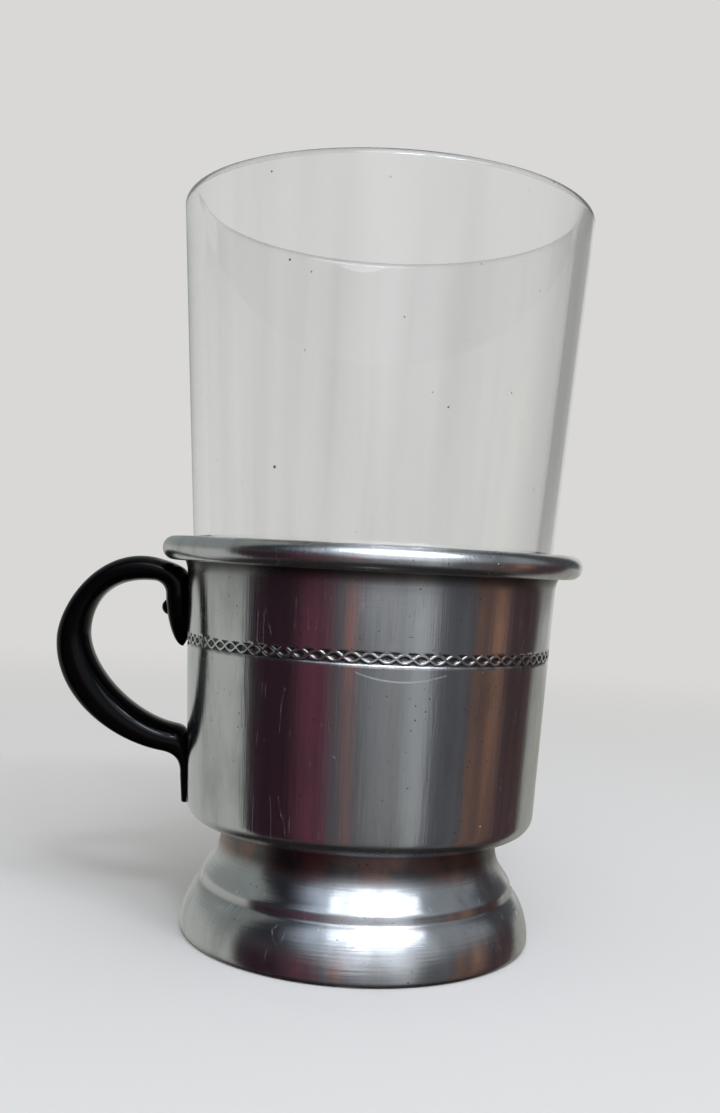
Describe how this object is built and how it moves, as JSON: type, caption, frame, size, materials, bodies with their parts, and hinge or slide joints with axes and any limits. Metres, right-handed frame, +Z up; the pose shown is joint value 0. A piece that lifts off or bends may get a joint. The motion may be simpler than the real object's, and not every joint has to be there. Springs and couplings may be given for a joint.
{
  "type": "tea glass holder",
  "caption": "Spun metal cup holder with rolled rim, ornament band, pedestal foot and black ear handle, holding a removable clear tapered tea glass.",
  "frame": {"origin": "on the common axis of glass, cup and foot, in the plane the foot rests on", "axes": "+Z up along the axis, out of the mouth of the glass; -X towards the handle; the picture looks along +Y"},
  "size_m": [0.0918, 0.0736, 0.1264],
  "materials": {
    "clear_glass": "clear, pressed, fire-polished rim",
    "spun_aluminium": "worn satin polish with spinning lines",
    "black_enamel": "gloss black stove enamel on a casting"
  },
  "bodies": {
    "holder": {"holder_cup": "spun_aluminium", "foot": "spun_aluminium", "handle": "black_enamel", "upper_rivet": "black_enamel", "lower_rivet": "black_enamel", "foot_rivet": "spun_aluminium"},
    "glass": {"tea_glass": "clear_glass"}
  },
  "joints": [
    {"name": "glass_lift", "type": "slide", "parent": "holder", "child": "glass", "axis": [0, 0, 1], "range_m": [0, 0.055]}
  ]
}
